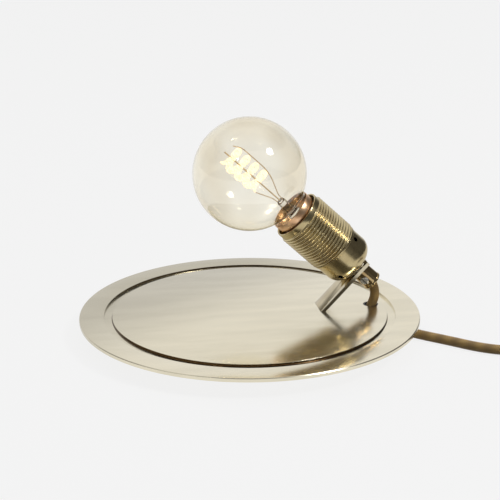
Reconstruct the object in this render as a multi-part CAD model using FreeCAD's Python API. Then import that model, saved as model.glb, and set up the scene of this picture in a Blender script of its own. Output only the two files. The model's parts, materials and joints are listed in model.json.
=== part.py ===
"""Bare bulb table lamp: a round brass plate on rubber feet, a bent flat bracket that holds a threaded
metal lampholder with its globe bulb over the middle of the plate, and a textile cord.

Millimetres. Origin at the centre of the plate, on the surface the lamp stands on. +Z is up, +X points
from the plate's centre to the bracket and the cord hole, and the bulb leans back towards -X.
"""

import FreeCAD, Part
import math
import os

V = FreeCAD.Vector

# ---------------------------------------------------------------- driving dimensions
# base plate
plate_d = 244.0
plate_t = 3.0
plate_chamfer = 0.5
groove_inner_r = 98.5
groove_outer_r = 104.5
groove_depth = 1.8

# feet
foot_h = 12.0
foot_d = 16.0
foot_top_d = 13.0
foot_web = 3.0
foot_taper_from = 1.0
foot_ring_r = 78.0
foot_first_angle = 45.0
foot_count = 4

# lampholder: the centre of its open rim above the plate's top, and how far its axis leans from level
rim_x = 33.6
rim_above_plate = 71.2
head_tilt = 43.3

# threaded sleeve
sleeve_len = 38.6
sleeve_thread_r = 20.0
sleeve_thread_depth = 1.1
sleeve_thread_pitch = 2.5
sleeve_thread_turns = 13
sleeve_collar_len = 4.2
sleeve_bore_r = 17.7
sleeve_lip_r = 19.4

# dome cap
dome_r = 18.8
dome_straight_end = 49.75
dome_corner_r = 9.3
dome_wall = 1.0
dome_skirt_len = 5.0
dome_boss_r = 6.5
dome_boss_len = 1.3
dome_hole_r = 1.8
dome_holes = ((41.9, -55.3), (51.6, 38.5))

# nipple, washer, bracket strip
nipple_r = 5.0
nipple_bore_r = 4.0
nipple_in_dome = 5.0
nipple_in_grip = 5.2
washer_t = 0.6
washer_r = 8.0
washer_teeth = 10
strip_t = 2.6
strip_w = 20.0
strip_above_axis = 8.6
strip_foot_len = 22.0
strip_bend_r = 3.0

# cord grip
grip_r = 6.9
grip_len = 14.7
grip_lip_r = 7.3
grip_lip_len = 1.6
grip_mouth_r = 2.6
grip_screw_at = 7.4
grip_screw_turn = 28.5
grip_screw_r = 2.0
grip_screw_head_r = 3.1
grip_screw_head_h = 1.9
grip_screw_stands = 0.5
grip_screw_slot = 0.9
grip_pad_from_axis = 3.8
grip_pad_len = 1.0

# inside the lampholder
shell_bore_r = 13.4
shell_wall = 0.45
shell_top = 4.5
ceramic_top = 8.0
ceramic_wall = 2.2
ceramic_floor = 31.0
ceramic_flange_r = 17.5
ceramic_plug_r = 16.3
ceramic_plug_len = 6.4
terminal_r = 2.0
terminal_head_r = 3.2
terminal_x = 9.5
terminal_depth = 4.0
core_r = 1.15
core_spread = 1.9
earth_screw_r = 1.7
earth_head_r = 2.8
earth_screw_at = 11.0
earth_stud_r = 3.0
earth_stud_h = 3.5

# bulb
globe_r = 40.0
globe_from_rim = 45.8
glass_wall = 0.8
neck_r = 15.2
neck_blend_r = 4.0
cap_r = 13.1
cap_wall = 0.4
skirt_r = 15.9
skirt_top = -5.6
skirt_end = 0.6
cap_top = 3.4
cap_len = 19.6
cap_foot_len = 2.0
tip_end = 29.0
tip_r = 4.6
insulator_r = 9.0
cap_thread_pitch = 3.629
filament_r = 7.0
filament_pitch = 8.2
filament_turns = 4.0
filament_wire_r = 0.55
filament_start = -34.0
stem_top = -16.0
stem_r = 3.2
post_r = 0.5
lead_wire_r = 0.35

# cord, bush and clamp
cord_d = 7.0
cord_sides = 6
cord_hole_d = 11.0
cord_hole_x = 89.5
bush_wall = 1.0
bush_flange = 2.0
bush_flange_t = 1.2
bush_flare = 1.2
clamp_w = 8.0
clamp_t = 1.6
clamp_ear = 9.0
clamp_clear = 0.5

# switch on the cord
switch_len = 64.0
switch_w = 27.0
switch_h = 19.0
switch_split = 9.0
switch_wall = 1.6
switch_taper = 13.0
switch_end_room = 2.6
rocker_len = 21.0
rocker_w = 10.0
rocker_rise = 2.2
rocker_dish = 1.6
rocker_draft = 1.2
rocker_tilt = 8.0
rocker_pin_r = 1.0
rocker_pin_len = 1.2
rocker_axis_depth = 4.0
rocker_clear = 0.4
rocker_cheek_t = 2.6

# coil of the put-away length
coil_outer_r = 51.5
coil_pitch = 7.8
coil_layers = 2
coil_sides = 4
quarters_per_layer = 12
coil_lead_in = 34.0
coil_lead_out = 46.0
cord_end_straight = 8.0

# plug
plug_r = 18.5
plug_grip_r = 16.0
plug_front_len = 13.0
plug_len = 34.0
plug_tail_len = 22.0
plug_tail_r = 6.4
plug_flat = 16.5
plug_notch_w = 6.0
plug_notch_depth = 3.2
earth_clip_w = 4.0
earth_clip_t = 0.8
pin_r = 2.4
pin_len = 19.0
pin_seat = 6.0
pin_spacing = 19.0

# screws
screw_r = 1.5
screw_head_r = 2.8
screw_head_h = 1.6
screw_depth = 1.8
screw_slot = 0.7
gap = 0.05

# how many flat sides the turned pieces have
plate_sides = 72
head_sides = 36
foot_sides = 20
grip_sides = 24
plug_sides = 32
small_sides = 16
screw_sides = 12

# ---------------------------------------------------------------- sizes worked out from them
plate_top = foot_h + plate_t
plate_under = foot_h
cord_r = cord_d / 2
tilt = math.radians(head_tilt)
along = V(math.cos(tilt), 0, -math.sin(tilt))
down_left = V(-math.sin(tilt), 0, -math.cos(tilt))
rim = V(rim_x, 0, plate_top + rim_above_plate)
head_place = FreeCAD.Placement(rim, FreeCAD.Rotation(V(0, 1, 0), 90 + head_tilt))

dome_end = dome_straight_end + dome_corner_r
dome_corner_ring = dome_r - dome_corner_r
strip_near = dome_end + dome_boss_len + washer_t
strip_far = strip_near + strip_t
grip_end = strip_far + grip_len

globe_z = -globe_from_rim

# the cord's route: through the grip and the plate, then out over the table to the switch
cord_through = [
    V(84.6, 0.0, 38.1),
    V(95.5, 0.0, 27.8),
    V(86.5, 0.0, 6.3),
    V(88.6, -15.5, 6.3),
    V(101.2, -25.2, 4.9),
]
cord_lead_route = [
    V(101.2, -25.2, 4.9),
    V(113.8, -34.9, 3.5),
    V(133.9, -52.4, 3.5),
    V(149.5, -67.3, 3.5),
    V(165.5, -76.6, 3.5),
    V(183.0, -81.3, 3.5),
]
switch_heading = -15.0


# ---------------------------------------------------------------- helpers
def save(name, shape):
    os.makedirs("parts", exist_ok=True)
    shape.exportStep("parts/" + name + ".step")
    solids = shape.Solids
    print(name, "solids", len(solids), "volume", round(sum(s.Volume for s in solids), 1), shape.isValid())


def turned(outline, sides):
    """The solid that an outline of (radius, z) points makes round the Z axis, with so many flat sides."""
    rings = [ring_corners(r, z, sides) for r, z in outline]
    faces = []
    for lower, upper in zip(rings, rings[1:] + rings[:1]):
        if len(lower) == 1 and len(upper) == 1:
            continue
        for i in range(sides):
            faces.append(flat_side(lower, upper, i))
    shell = Part.makeShell(faces)
    shell.sewShape()
    solid = Part.Solid(shell)
    return solid if solid.Volume > 0 else solid.reversed()


def ring_corners(radius, z, sides):
    if radius < 1e-6:
        return [V(0, 0, z)]
    corners = []
    for i in range(sides):
        a = 2 * math.pi * (i + 0.5) / sides
        corners.append(V(radius * math.cos(a), radius * math.sin(a), z))
    return corners


def flat_side(lower, upper, i):
    """One flat side between two rings of corners. A ring that lies on the axis is a single point."""
    a, b = lower[i % len(lower)], lower[(i + 1) % len(lower)]
    c, d = upper[(i + 1) % len(upper)], upper[i % len(upper)]
    corners = [a, b, c, d]
    if len(lower) == 1:
        corners = [a, c, d]
    if len(upper) == 1:
        corners = [a, b, c]
    return Part.Face(Part.makePolygon(corners + corners[:1]))


def round_points(centre_r, centre_z, radius, start, end, steps):
    """Points (radius, z) on a round stretch of an outline, from one angle in degrees to another."""
    points = []
    for i in range(steps + 1):
        a = math.radians(start + (end - start) * i / steps)
        points.append((centre_r + radius * math.cos(a), centre_z + radius * math.sin(a)))
    return points


def rod(radius, length, base=V(0, 0, 0), direction=V(0, 0, 1)):
    return Part.makeCylinder(radius, length, base, direction)


def in_head(shape):
    """Moves a shape from the lampholder's own frame (rim at 0, +Z towards the cord grip) to its place."""
    placed = shape.copy()
    placed.Placement = head_place.multiply(placed.Placement)
    return placed


def around_head(angle):
    """The direction square to the lampholder's axis, in its own frame, turned from -Y towards below."""
    a = math.radians(angle)
    return V(math.sin(a), -math.cos(a), 0)


def rounded_path(points, share=0.45):
    """Straight runs joined by tangent arcs. Returns the wire and the radius of each arc."""
    edges = []
    radii = []
    start = points[0]
    for before, corner, after in zip(points, points[1:], points[2:]):
        into = (corner - before).normalize()
        out = (after - corner).normalize()
        half_turn = into.getAngle(out) / 2
        reach = share * min(before.distanceToPoint(corner), corner.distanceToPoint(after))
        radius = reach / math.tan(half_turn)
        first = corner - into * reach
        last = corner + out * reach
        inward = (out - into).normalize()
        middle = corner + inward * (radius / math.cos(half_turn) - radius)
        edges.append(Part.LineSegment(start, first).toShape())
        edges.append(Part.Arc(first, middle, last).toShape())
        radii.append(radius)
        start = last
    edges.append(Part.LineSegment(start, points[-1]).toShape())
    return Part.Wire(edges), radii


def ring_section(centre, direction, radius, sides):
    """A regular polygon square to a direction, with one of its corners sideways."""
    side = direction.cross(V(0, 0, 1))
    side = side.normalize() if side.Length > 0.01 else V(0, 1, 0)
    up = side.cross(direction).normalize()
    points = []
    for i in range(sides):
        a = 2 * math.pi * i / sides
        points.append(centre + side * (radius * math.cos(a)) + up * (radius * math.sin(a)))
    return Part.makePolygon(points + points[:1])


def swept(path, radius, sides):
    first = path.OrderedEdges[0]
    start = first.valueAt(first.FirstParameter)
    heading = first.tangentAt(first.FirstParameter)
    section = ring_section(start, heading, radius, sides)
    return Part.Solid(path.makePipeShell([section], True, False))


def section_area(radius, sides):
    return 0.5 * sides * radius**2 * math.sin(2 * math.pi / sides)


def biarc(start, start_heading, end, end_heading):
    """Two arcs that join two points and leave and arrive along the two headings."""
    span = end - start
    both = start_heading + end_heading
    fall = 2 * (1 - start_heading.dot(end_heading))
    lean = span.dot(both)
    if fall < 1e-9:
        reach = span.dot(span) / (2 * lean)
    else:
        reach = (math.sqrt(lean**2 + fall * span.dot(span)) - lean) / fall
    first_corner = start + start_heading * reach
    last_corner = end - end_heading * reach
    joint = (first_corner + last_corner) * 0.5
    return [tangent_arc(start, first_corner, joint), tangent_arc(joint, last_corner, end)]


def tangent_arc(start, corner, end):
    middle = (start + end) * 0.5
    half_chord = start.distanceToPoint(middle)
    height = corner.distanceToPoint(middle)
    bulge = half_chord * math.tan(math.atan2(height, half_chord) / 2)
    return Part.Arc(start, middle + (corner - middle) * (bulge / height), end).toShape()


def least_self_gap(wire, apart, diameter, step):
    """The least gap between stretches of a tube that lie at least apart along it, measured on points."""
    points = wire.discretize(Distance=step)
    skip = int(apart / step)
    least = min(
        p.distanceToPoint(q)
        for i, p in enumerate(points)
        for q in points[i + skip :: 2]
    )
    return least - diameter


def box_between(low, high):
    size = high - low
    return Part.makeBox(size.x, size.y, size.z, low)


def pan_screw(base, direction, shank_r, shank_len, head_r, head_h, slot_w):
    """A slotted pan-head screw. base is under its head, and direction is the way its shank points."""
    bevel = 0.3 * head_h
    outline = [(0, -head_h), (head_r - bevel, -head_h), (head_r, bevel - head_h), (head_r, 0)]
    outline += [(shank_r, 0), (shank_r, shank_len), (0, shank_len)]
    slot_depth = 0.45 * head_h
    slot = box_between(V(-head_r, -slot_w / 2, -head_h - 1), V(head_r, slot_w / 2, slot_depth - head_h))
    screw = turned(outline, screw_sides).cut(slot)
    screw.Placement = FreeCAD.Placement(base, FreeCAD.Rotation(V(0, 0, 1), direction))
    return screw


# ---------------------------------------------------------------- base
def foot_places():
    for i in range(foot_count):
        a = math.radians(foot_first_angle + 360 * i / foot_count)
        yield V(foot_ring_r * math.cos(a), foot_ring_r * math.sin(a), 0)


def strip_point(from_axis, depth):
    """A point of the bracket's middle plane: from_axis down the strip, depth through its thickness."""
    return rim + along * (strip_near + depth) + down_left * from_axis


def strip_reach(height, depth):
    """How far down the strip, from the lampholder's axis, one of its faces meets a height."""
    start = rim + along * (strip_near + depth)
    return (start.z - height) / math.cos(tilt)


def strip_body(extra=0.0):
    """The bracket: a flat strip along the head's end face, bent to a foot that lies under the plate."""
    lower = plate_under - gap
    near_corner = strip_point(strip_reach(lower, 0.0), 0.0)
    far_foot = strip_point(strip_reach(lower - strip_t, strip_t), strip_t)
    foot_end_x = near_corner.x - strip_foot_len
    outline = [
        strip_point(-strip_above_axis, 0.0),
        near_corner,
        V(foot_end_x, 0, lower),
        V(foot_end_x, 0, lower - strip_t),
        far_foot,
        strip_point(-strip_above_axis, strip_t),
    ]
    face = Part.Face(Part.makePolygon(outline + outline[:1]))
    face.translate(V(0, -strip_w / 2, 0))
    body = face.extrude(V(0, strip_w, 0))
    return body


def bracket_screw_places():
    near_x = strip_point(strip_reach(plate_under, 0.0), 0.0).x
    for y in (-0.25 * strip_w, 0.25 * strip_w):
        yield V(near_x - 0.5 * strip_foot_len, y, 0)


def make_bracket():
    body = strip_body()
    bends = [e for e in body.Edges if abs(e.Length - strip_w) < 0.01 and is_inner_bend(e)]
    body = body.makeFillet(strip_bend_r, bends)
    hole = in_head(rod(nipple_r + gap, strip_t + 2, V(0, 0, strip_near - 1)))
    body = body.cut(hole)
    for place in bracket_screw_places():
        body = body.cut(rod(screw_r + gap, strip_t + 2, V(place.x, place.y, plate_under - strip_t - 1)))
    return body


def is_inner_bend(edge):
    """The bend's long edge on the lower side, which is clear of the plate."""
    far_foot = strip_point(strip_reach(plate_under - gap - strip_t, strip_t), strip_t)
    return abs(edge.CenterOfMass.x - far_foot.x) < 0.05 and abs(edge.CenterOfMass.z - far_foot.z) < 0.05


def slot_in_plate():
    """The slanted slot that the strip passes through, a little wider than the strip all round."""
    room = 0.15
    outline = [
        strip_point(strip_reach(plate_top + 2, -room), -room),
        strip_point(strip_reach(plate_under - 2, -room), -room),
        strip_point(strip_reach(plate_under - 2, strip_t + room), strip_t + room),
        strip_point(strip_reach(plate_top + 2, strip_t + room), strip_t + room),
    ]
    face = Part.Face(Part.makePolygon(outline + outline[:1]))
    half = strip_w / 2 + room
    face.translate(V(0, -half, 0))
    return face.extrude(V(0, 2 * half, 0))


def make_plate():
    r = plate_d / 2
    c = plate_chamfer
    outline = [
        (0, plate_under),
        (r - c, plate_under),
        (r, plate_under + c),
        (r, plate_top - c),
        (r - c, plate_top),
        (groove_outer_r, plate_top),
        (groove_outer_r, plate_top - groove_depth),
        (groove_inner_r, plate_top - groove_depth),
        (groove_inner_r, plate_top),
        (0, plate_top),
    ]
    plate = turned(outline, plate_sides).removeSplitter()
    plate = plate.cut(rod(cord_hole_d / 2, plate_t + 2, V(cord_hole_x, 0, plate_under - 1)))
    plate = plate.cut(slot_in_plate())
    taps = list(foot_places()) + list(bracket_screw_places()) + list(clamp_screw_places())
    for place in taps:
        plate = plate.cut(rod(screw_r + gap, screw_depth + 0.2 + 1, V(place.x, place.y, plate_under - 1)))
    return plate


def make_foot(place):
    """A rubber foot: a tapered puck with a deep recess that hides its screw's head."""
    r = foot_d / 2
    top_r = foot_top_d / 2
    outline = [
        (screw_r + gap, foot_h),
        (top_r, foot_h),
        (r, foot_taper_from),
        (r - foot_taper_from, 0),
        (screw_head_r + 0.6, 0),
        (screw_head_r + 0.6, foot_h - foot_web),
        (screw_r + gap, foot_h - foot_web),
    ]
    foot = turned(outline, foot_sides)
    foot.translate(place)
    return foot


def make_foot_screws():
    screws = []
    for place in foot_places():
        base = V(place.x, place.y, foot_h - foot_web - 0.02)
        shank = foot_web + screw_depth
        screws.append(pan_screw(base, V(0, 0, 1), screw_r, shank, screw_head_r, screw_head_h, screw_slot))
    return Part.makeCompound(screws)


def make_bracket_screws():
    screws = []
    for place in bracket_screw_places():
        base = V(place.x, place.y, plate_under - gap - strip_t - 0.02)
        shank = strip_t + screw_depth
        screws.append(pan_screw(base, V(0, 0, 1), screw_r, shank, screw_head_r, screw_head_h, screw_slot))
    return Part.makeCompound(screws)


# ---------------------------------------------------------------- cord, bush, clamp
def clamp_frame():
    """The middle of the cord's last run under the plate, where the clamp holds it, and its heading."""
    a, b = cord_through[-2], cord_through[-1]
    heading = V(b.x - a.x, b.y - a.y, 0).normalize()
    return (a + b) * 0.5 + heading * (clamp_w / 4), heading


def clamp_screw_places():
    middle, heading = clamp_frame()
    side = V(-heading.y, heading.x, 0)
    for sign in (-1, 1):
        place = middle + side * (sign * clamp_ear)
        yield V(place.x, place.y, 0)


def make_clamp():
    """A saddle of bent strip that holds the cord up to the plate's underside."""
    middle, heading = clamp_frame()
    inner = cord_r + clamp_clear
    outer = inner + clamp_t
    drop = plate_under - gap - middle.z
    ear = clamp_ear + screw_head_r + 1.0
    plain = box_between(V(-clamp_w / 2, -ear, drop - clamp_t), V(clamp_w / 2, ear, drop))
    bow = rod(outer, clamp_w, V(-clamp_w / 2, 0, 0), V(1, 0, 0))
    sides = box_between(V(-clamp_w / 2, -outer, 0), V(clamp_w / 2, outer, drop))
    body = plain.fuse(bow.common(box_between(V(-50, -50, -50), V(50, 50, 0)))).fuse(sides)
    body = body.cut(rod(inner, clamp_w + 2, V(-clamp_w / 2 - 1, 0, 0), V(1, 0, 0)))
    body = body.cut(box_between(V(-clamp_w, -inner, 0), V(clamp_w, inner, drop + 1)))
    for sign in (-1, 1):
        body = body.cut(rod(screw_r + gap, 20, V(0, sign * clamp_ear, drop - 10)))
    turn = math.degrees(math.atan2(heading.y, heading.x))
    body.Placement = FreeCAD.Placement(middle, FreeCAD.Rotation(V(0, 0, 1), turn))
    return body.removeSplitter()


def make_clamp_screws():
    screws = []
    for place in clamp_screw_places():
        base = V(place.x, place.y, plate_under - gap - clamp_t - 0.02)
        shank = clamp_t + screw_depth
        screws.append(pan_screw(base, V(0, 0, 1), screw_r, shank, screw_head_r, screw_head_h, screw_slot))
    return Part.makeCompound(screws)


def make_bush():
    """A black bush that lines the cord hole, flush with the plate's top, with a flange underneath."""
    r = cord_hole_d / 2 - gap
    bore = r - bush_wall
    flange_top = plate_under - gap
    flange_under = flange_top - bush_flange_t
    outline = [
        (bore, plate_top - 0.1),
        (r, plate_top - 0.1),
        (r, flange_top),
        (r + bush_flange, flange_top),
        (r + bush_flange, flange_under),
        (bore + bush_flare, flange_under),
        (bore, flange_under + bush_flare),
    ]
    bush = turned(outline, small_sides)
    bush.translate(V(cord_hole_x, 0, 0))
    return bush


def make_cord(name, route):
    path, radii = rounded_path(route)
    tube = swept(path, cord_r, cord_sides)
    expected = section_area(cord_r, cord_sides) * path.Length
    print(name, "length", round(path.Length, 1), "radii", [round(r, 1) for r in radii])
    print(name, "volume over section x length", round(tube.Volume / expected, 4))
    return tube, path.Length


# ---------------------------------------------------------------- lampholder
def make_sleeve():
    """The threaded sleeve: a smooth collar, ring-shaped thread crests and a plain lip."""
    root = sleeve_thread_r - sleeve_thread_depth
    outline = [(sleeve_bore_r, 0.3), (sleeve_bore_r + 0.3, 0), (root - 0.4, 0), (root, 0.4)]
    z = sleeve_collar_len
    outline.append((root, z))
    for _ in range(sleeve_thread_turns):
        outline.append((sleeve_thread_r, z + sleeve_thread_pitch / 2))
        outline.append((root, z + sleeve_thread_pitch))
        z += sleeve_thread_pitch
    outline += [(sleeve_lip_r, z + (sleeve_lip_r - root)), (sleeve_lip_r, sleeve_len)]
    outline.append((sleeve_bore_r, sleeve_len))
    return in_head(turned(outline, head_sides))


def make_dome():
    skirt_r = sleeve_bore_r - gap
    inner_r = skirt_r - dome_wall
    ring = dome_corner_ring
    boss_end = dome_end + dome_boss_len
    skirt_start = sleeve_len - dome_skirt_len
    inner_end = dome_floor()
    bore = nipple_r + gap
    outline = [(inner_r, skirt_start), (skirt_r, skirt_start)]
    outline += [(skirt_r, sleeve_len + gap), (dome_r, sleeve_len + gap)]
    outline += round_points(ring, dome_straight_end, dome_corner_r, 0, 90, 6)
    outline += [(dome_boss_r, dome_end), (dome_boss_r, boss_end), (bore, boss_end)]
    outline += [(bore, inner_end - 3.0), (dome_boss_r + 1.0, inner_end - 3.0), (dome_boss_r + 1.0, inner_end)]
    outline += round_points(ring, dome_straight_end, dome_corner_r - dome_wall, 90, 0, 4)
    outline += [(dome_r - dome_wall, sleeve_len + 2 * dome_wall + 1), (inner_r, sleeve_len + dome_wall)]
    dome = turned(outline, head_sides)
    stud = V(0, earth_screw_at, inner_end - earth_stud_h)
    dome = dome.fuse(rod(earth_stud_r, earth_stud_h + dome_wall / 2, stud))
    dome = dome.cut(rod(earth_screw_r + gap, earth_stud_h + 0.2, stud))
    for z, angle in dome_holes:
        dome = dome.cut(rod(dome_hole_r, 30, V(0, 0, z), around_head(angle)))
    return in_head(dome)


def make_nipple():
    start = dome_end - nipple_in_dome
    length = strip_far + nipple_in_grip - start
    return in_head(rod(nipple_r, length, V(0, 0, start)).cut(rod(nipple_bore_r, length, V(0, 0, start))))


def make_washer():
    """A serrated lock washer between the dome's boss and the bracket."""
    z = strip_near - washer_t
    bore = nipple_r + gap
    ring = rod(washer_r, washer_t, V(0, 0, z)).cut(rod(bore, washer_t, V(0, 0, z)))
    for i in range(washer_teeth):
        notch = box_between(V(washer_r - 1.3, -0.7, z - 1), V(washer_r + 1, 0.7, z + 2))
        notch.rotate(V(0, 0, 0), V(0, 0, 1), 360 * i / washer_teeth)
        ring = ring.cut(notch)
    return in_head(ring)


def make_grip():
    """The cord grip: a brass bush threaded on the nipple, with a rolled lip and a flared mouth."""
    bore = cord_r + 0.25
    thread_end = strip_far + nipple_in_grip + 0.2
    start = strip_far + gap
    outline = [(nipple_r + gap, start), (grip_r, start), (grip_r, grip_end - grip_lip_len)]
    outline += [(grip_lip_r, grip_end - grip_lip_len + 0.5), (grip_lip_r, grip_end - 0.6)]
    outline += [(grip_lip_r - 0.6, grip_end)]
    outline += round_points(bore + grip_mouth_r, grip_end - grip_mouth_r, grip_mouth_r, 90, 180, 3)
    outline += [(bore, thread_end), (nipple_r + gap, thread_end)]
    grip = turned(outline, grip_sides)
    centre, radial = grip_screw_line()
    seat = centre + radial * (grip_head_seat() - gap)
    grip = grip.cut(rod(grip_screw_r + gap, grip_lip_r, centre, radial))
    return in_head(grip.cut(rod(grip_screw_head_r + gap, grip_lip_r, seat, radial)))


def grip_screw_line():
    """The clamp screw's line: its point on the grip's axis and its direction outwards."""
    return V(0, 0, strip_far + grip_screw_at), around_head(grip_screw_turn)


def grip_head_seat():
    """How far the underside of the clamp screw's head is from the grip's axis."""
    return grip_r + grip_screw_stands - grip_screw_head_h


def make_grip_screw():
    """The slotted clamp screw, its head sunk in the side of the grip."""
    centre, radial = grip_screw_line()
    shank = grip_head_seat() - grip_pad_from_axis - grip_pad_len - gap
    under_head = centre + radial * grip_head_seat()
    head = (grip_screw_head_r, grip_screw_head_h, grip_screw_slot)
    return in_head(pan_screw(under_head, radial * -1, grip_screw_r, shank, *head))


def make_grip_pad():
    """The loose pad under the clamp screw, which presses on the cord without turning."""
    centre, radial = grip_screw_line()
    return in_head(rod(grip_screw_r, grip_pad_len, centre + radial * grip_pad_from_axis, radial))


def make_screw_shell():
    """The inner screw shell that the bulb's cap turns into."""
    outer = shell_bore_r + shell_wall
    end = ceramic_floor - 0.02
    outline = [(shell_bore_r, shell_top), (outer + 0.5, shell_top), (outer + 0.5, shell_top + shell_wall)]
    outline += [(outer, shell_top + shell_wall), (outer, end), (shell_bore_r - 2.4, end)]
    outline += [(shell_bore_r - 2.4, end - shell_wall), (shell_bore_r, end - shell_wall)]
    return in_head(turned(outline, head_sides))


def make_ceramic():
    """The ceramic insert: a tube round the screw shell, a flange on the dome's skirt and a plug below."""
    tube_in = shell_bore_r + shell_wall + gap
    seat = ceramic_seat()
    lower = ceramic_lower_face()
    tube_out = tube_in + ceramic_wall
    outline = [(tube_in, ceramic_top), (tube_out, ceramic_top), (tube_out, ceramic_floor)]
    outline += [(ceramic_flange_r, ceramic_floor), (ceramic_flange_r, seat), (ceramic_plug_r, seat)]
    outline += [(ceramic_plug_r, lower), (0, lower), (0, ceramic_floor), (tube_in, ceramic_floor)]
    body = turned(outline, head_sides)
    hole_depth = terminal_depth + 0.2
    for place in terminal_places():
        body = body.cut(rod(terminal_r + gap, hole_depth, place - V(0, 0, hole_depth)))
    return in_head(body)


def ceramic_seat():
    """Where the insert's flange sits on the end of the dome's skirt."""
    return sleeve_len - dome_skirt_len - 0.02


def ceramic_lower_face():
    return ceramic_seat() + ceramic_plug_len


def terminal_places():
    """Points under the heads of the two terminal screws, on the insert's lower face."""
    for sign in (-1, 1):
        yield V(sign * terminal_x, 0, ceramic_lower_face())


def make_terminal_screws():
    screws = []
    for place in terminal_places():
        head = (terminal_head_r, 1.8, 0.9)
        screws.append(pan_screw(place + V(0, 0, 0.02), V(0, 0, -1), terminal_r, terminal_depth, *head))
    return in_head(Part.makeCompound(screws))


def dome_floor():
    """The flat inside the dome's closed end."""
    return dome_end - dome_wall


def make_earth_screw():
    """The earth screw, which is threaded into a stud on the dome's floor."""
    place = V(0, earth_screw_at, dome_floor() - earth_stud_h - 0.02)
    head = (earth_head_r, 1.6, 0.8)
    return in_head(pan_screw(place, V(0, 0, 1), earth_screw_r, earth_stud_h, *head))


def make_centre_contact():
    """The sprung tongue under the bulb's tip, riveted to the ceramic's floor."""
    floor = ceramic_floor - 0.02
    outline = [
        V(9.5, 0, floor),
        V(9.5, 0, floor - 0.5),
        V(4.0, 0, floor - 0.5),
        V(-1.0, 0, tip_end + 0.55),
        V(-3.5, 0, tip_end + 0.55),
        V(-3.5, 0, tip_end + 0.05),
        V(-1.2, 0, tip_end + 0.05),
        V(3.8, 0, floor - 1.0),
        V(10.0, 0, floor - 1.0),
        V(10.0, 0, floor),
    ]
    face = Part.Face(Part.makePolygon(outline + outline[:1]))
    face.translate(V(0, -2.5, 0))
    tongue = face.extrude(V(0, 5.0, 0))
    return in_head(tongue)


def make_conductors():
    """The insulated cores that fan out from the nipple to the two terminal screws and the earth screw."""
    cores = []
    cord_start = cord_through[0].distanceToPoint(rim) - 0.02
    inner_end = dome_end - nipple_in_dome - 4.5
    low = ceramic_lower_face() + 0.1
    side = terminal_x + terminal_head_r + core_r + 0.2
    to_terminal = [(side, low + 6), (side, low)]
    earth_side = earth_screw_at + earth_head_r + core_r + 0.3
    earth_level = dome_floor() - earth_stud_h - 2.0
    to_earth = [(0.56 * earth_side, earth_level - 8.5), (earth_side - 0.2, earth_level - 6)]
    to_earth.append((earth_side, earth_level))
    for turn, last in ((-90, to_terminal), (90, to_terminal), (180, to_earth)):
        out = around_head(turn)
        route = [(core_spread, cord_start), (core_spread, inner_end)] + last
        path, _ = rounded_path([out * r + V(0, 0, z) for r, z in route])
        cores.append(swept(path, core_r, 4))
    return in_head(Part.makeCompound(cores))


# ---------------------------------------------------------------- bulb
def neck_blend(globe, neck, blend):
    """Where a neck's inward curve meets the globe: its centre (radius, z) and its angle at the globe."""
    rise = math.sqrt((globe + blend) ** 2 - (neck + blend) ** 2)
    angle = math.degrees(math.atan2(-rise, -(neck + blend)))
    return (neck + blend, globe_z + rise), angle


def globe_side(globe, neck, blend, steps, blend_steps):
    """A globe's outline from its far end, through the blend, to the neck."""
    (r, z), angle = neck_blend(globe, neck, blend)
    points = round_points(0, globe_z, globe, -90, angle + 180, steps)
    return points + round_points(r, z, blend, angle, -180, blend_steps)[1:]


def make_glass():
    """The bulb's glass: a globe that runs through a concave blend into a neck, which the cap holds."""
    throat = cap_r - cap_wall - gap
    foot = cap_top + 3.0
    outline = globe_side(globe_r, neck_r, neck_blend_r, 13, 2)
    outline += [(neck_r, skirt_end - 0.6), (throat, cap_top - 0.3), (throat, foot), (throat - glass_wall, foot)]
    outline += [(throat - glass_wall, cap_top - 0.3), (neck_r - glass_wall, skirt_end - 1.4)]
    inner = globe_side(globe_r - glass_wall, neck_r - glass_wall, neck_blend_r + glass_wall, 10, 2)
    return in_head(turned(outline + inner[::-1], head_sides))


def make_cap():
    """The bulb's metal cap: a skirt round the glass neck, drawn in to the part that screws in."""
    inner = cap_r - cap_wall
    end = cap_top + cap_len
    outline = [(skirt_r - cap_wall, skirt_top), (skirt_r, skirt_top), (skirt_r, skirt_end)]
    outline += [(cap_r, cap_top), (cap_r, end), (insulator_r, end + cap_foot_len)]
    outline += [(insulator_r - 0.5, end + cap_foot_len - 0.5), (inner, end - 0.3)]
    outline += [(inner, cap_top), (skirt_r - cap_wall, skirt_end)]
    return in_head(turned(outline, head_sides))


def make_insulator():
    start = cap_top + cap_len + cap_foot_len
    outline = [(0, start - 0.4), (insulator_r - 0.8, start - 0.4), (insulator_r, start + 0.02)]
    outline += [(tip_r + 0.6, tip_end - 1.6), (0, tip_end - 1.6)]
    return in_head(turned(outline, head_sides))


def make_tip():
    base = tip_end - 1.6 + 0.02
    outline = [(0, base), (tip_r, base), (tip_r - 0.6, tip_end - 0.4), (tip_r - 2.2, tip_end), (0, tip_end)]
    return in_head(turned(outline, head_sides))


def make_stem():
    """The glass stem: a flare sealed into the neck, narrowing to the pinch that holds the wires."""
    flare_r = cap_r - cap_wall - 2 * gap - glass_wall
    outline = [(0, stem_top), (stem_r - 0.6, stem_top), (stem_r, stem_top + 1.5), (stem_r, stem_top + 9)]
    outline += [(stem_r + 1.8, -3.0), (flare_r, cap_top + 2.2), (flare_r, cap_top + 3.0)]
    outline += [(stem_r + 1.0, -1.6), (0, -1.6)]
    return in_head(turned(outline, head_sides))


def filament_point(turns):
    a = 2 * math.pi * turns
    return V(filament_r * math.cos(a), filament_r * math.sin(a), filament_start - filament_pitch * turns)


def filament_heading(turns):
    a = 2 * math.pi * turns
    rise = -filament_pitch / (2 * math.pi)
    return V(-filament_r * math.sin(a), filament_r * math.cos(a), rise).normalize()


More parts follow.
